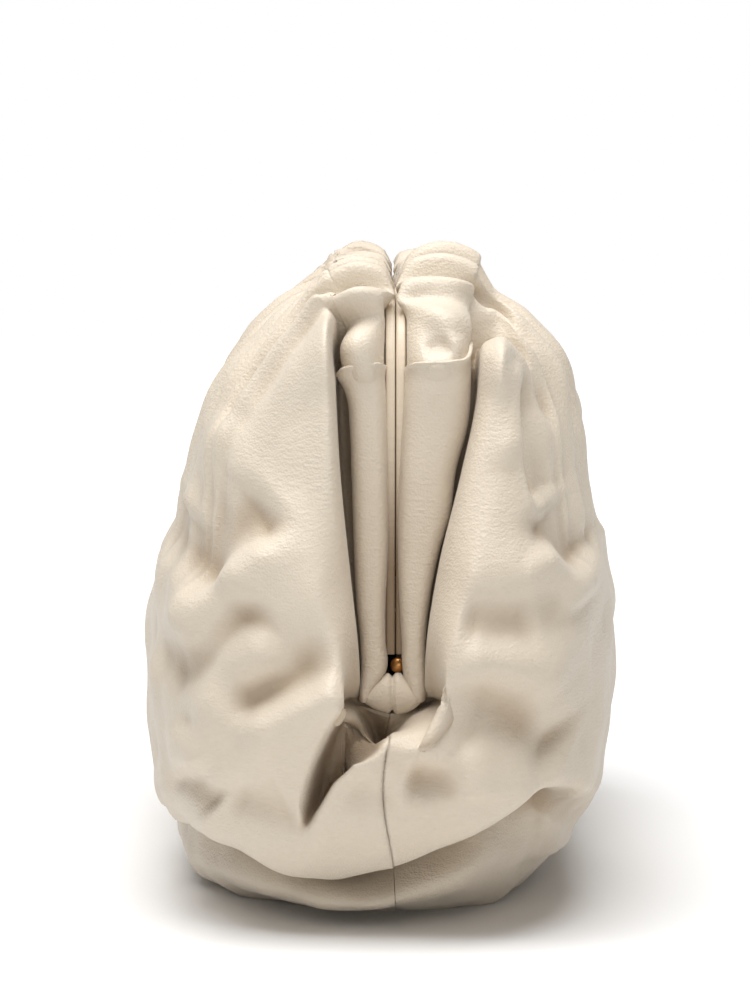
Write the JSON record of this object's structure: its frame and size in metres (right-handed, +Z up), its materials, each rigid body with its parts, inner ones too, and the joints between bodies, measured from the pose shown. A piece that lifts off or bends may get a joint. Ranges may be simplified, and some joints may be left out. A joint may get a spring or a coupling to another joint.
{
  "type": "leather pouch bag",
  "caption": "Soft leather clutch pouch, gathered over a hinged frame that closes at the top, standing on a folded base.",
  "frame": {"origin": "middle of the bounding box's underside, on the surface the bag stands on", "axes": "+Z up to the mouth, +Y along the bag's length away from the end in the picture, +X to the right of that end"},
  "size_m": [0.165, 0.379, 0.2239],
  "materials": {
    "leather": "soft, smooth calf leather with a fine grain",
    "frame_leather": "thin leather, drawn tight over the bars",
    "brass": "polished"
  },
  "bodies": {
    "root": {"panel_left": "leather", "panel_right": "leather", "frame_left": "frame_leather", "frame_right": "frame_leather", "leg_cover_left_near": "leather", "leg_cover_right_near": "leather", "leg_cover_left_far": "leather", "leg_cover_right_far": "leather", "hinge_cap_near": "leather", "hinge_cap_far": "leather", "hinge_pin_near": "brass", "hinge_pin_far": "brass"}
  },
  "joints": []
}
